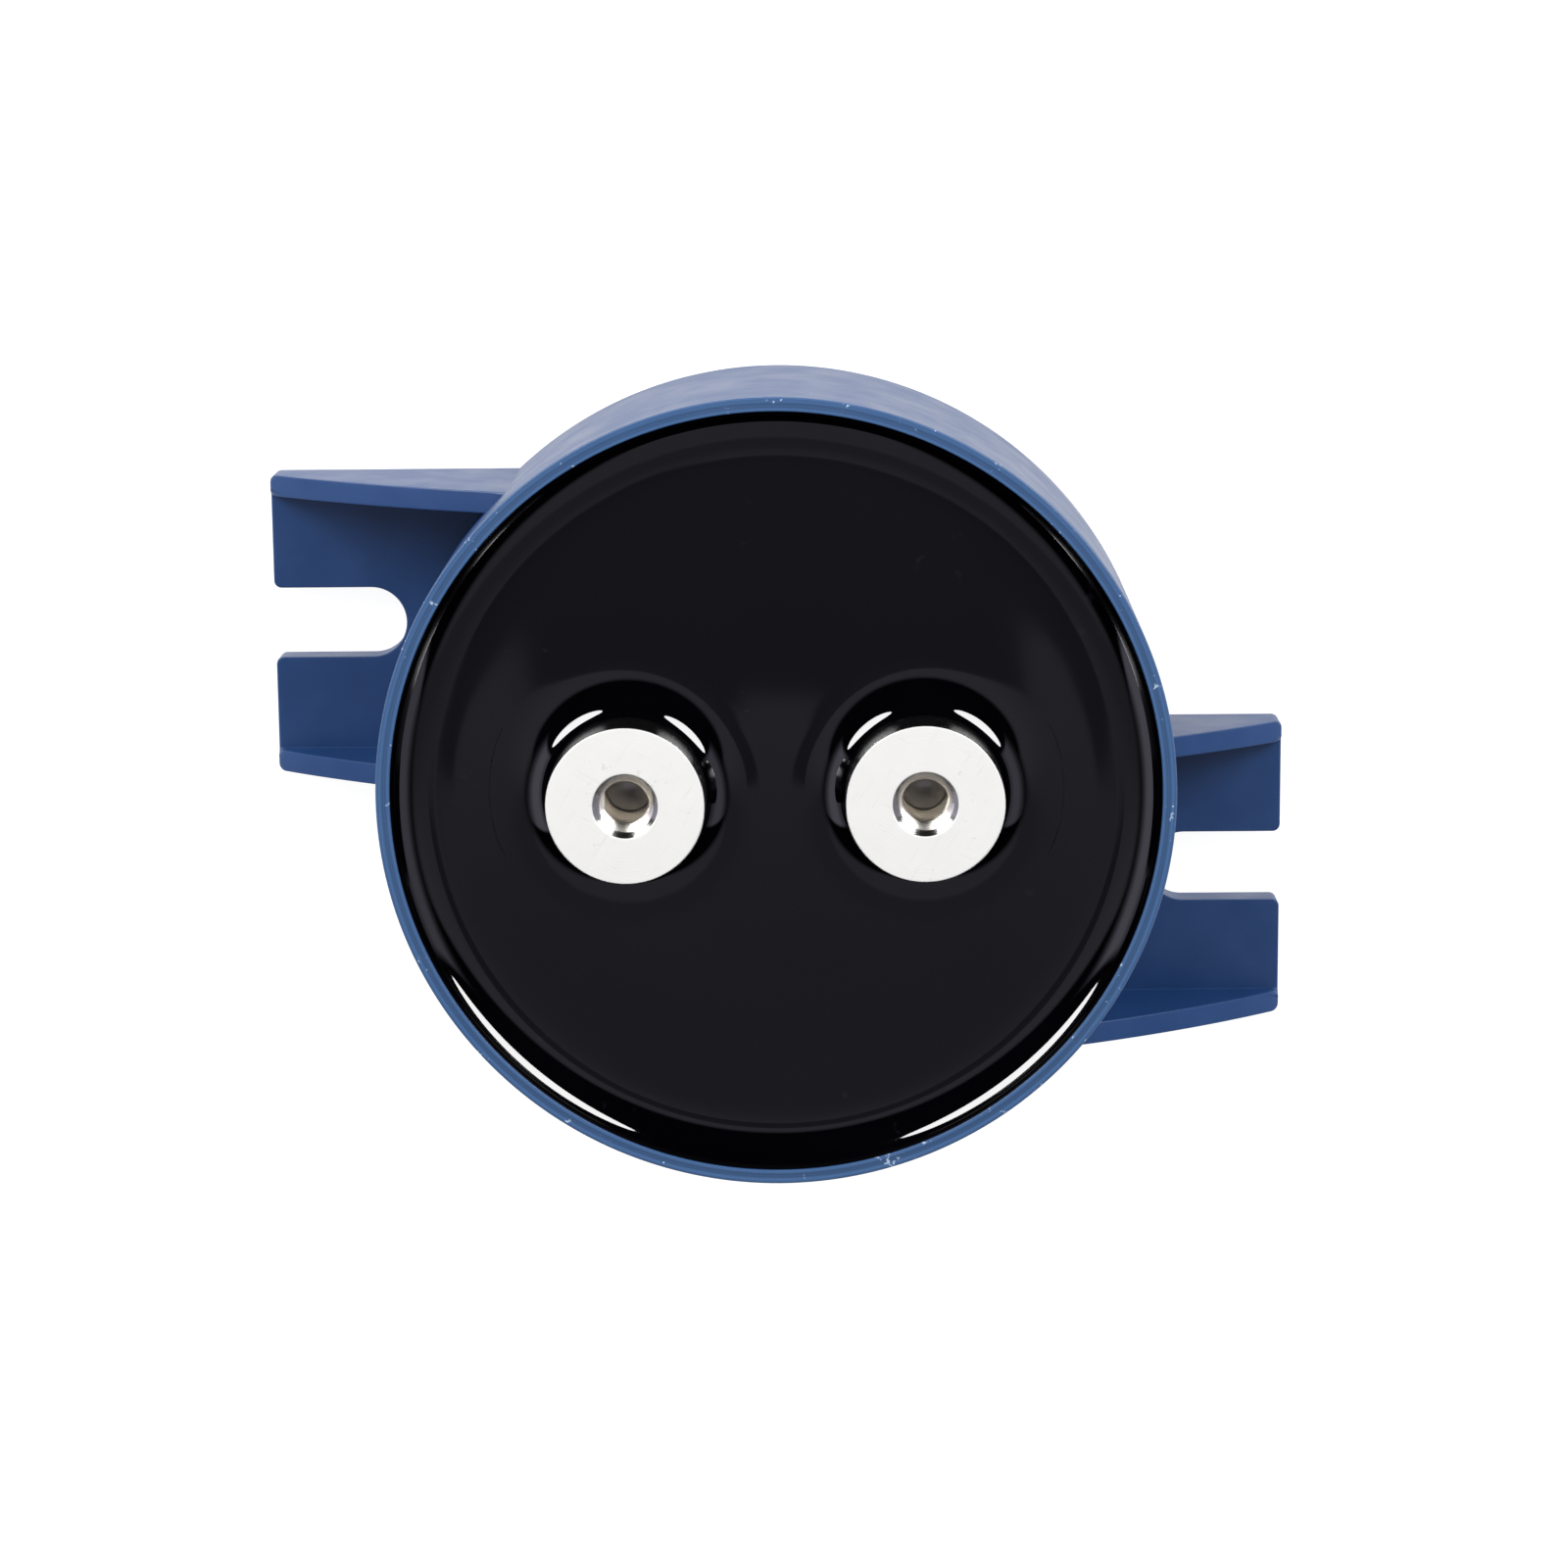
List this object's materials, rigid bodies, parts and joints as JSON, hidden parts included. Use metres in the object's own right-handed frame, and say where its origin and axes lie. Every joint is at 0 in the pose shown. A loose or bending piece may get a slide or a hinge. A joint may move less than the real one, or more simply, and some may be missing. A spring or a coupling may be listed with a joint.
{
  "type": "film capacitor",
  "caption": "Round potted film capacitor in a plastic cup, with screw terminals on top and slotted ears for mounting on a panel.",
  "frame": {"origin": "centre of the cup's round mounting face, on the cup's axis", "axes": "+Z out of the mounting face towards the terminals; +X along the line of the terminals, towards the ear that sits on the -Y side; +Y completes the frame"},
  "size_m": [0.1124, 0.0844, 0.0382],
  "materials": {
    "moulded_blue": "moulded, slightly rough, scuffed rim",
    "black_resin": "cast, glossy",
    "tinned_metal": "turned and tinned, fine scuffs",
    "core_plastic": "extruded",
    "metallised_film": "tightly wound film",
    "wrap_tape": "wound film wrap",
    "sprayed_zinc": "grainy flame-sprayed metal",
    "insulating_board": "pressed board",
    "copper_strip": "rolled copper",
    "solder": "solidified solder"
  },
  "bodies": {
    "root": {"case": "moulded_blue", "potting_resin": "black_resin", "terminal_left": "tinned_metal", "terminal_right": "tinned_metal", "winding_core": "core_plastic", "film_winding": "metallised_film", "winding_wrap": "wrap_tape", "end_spray_top": "sprayed_zinc", "end_spray_bottom": "sprayed_zinc", "insulating_disc_top": "insulating_board", "insulating_disc_bottom": "insulating_board", "lead_strip_top": "copper_strip", "lead_strip_bottom": "copper_strip", "solder_top": "solder", "solder_bottom": "solder", "solder_terminals": "solder"}
  },
  "joints": []
}
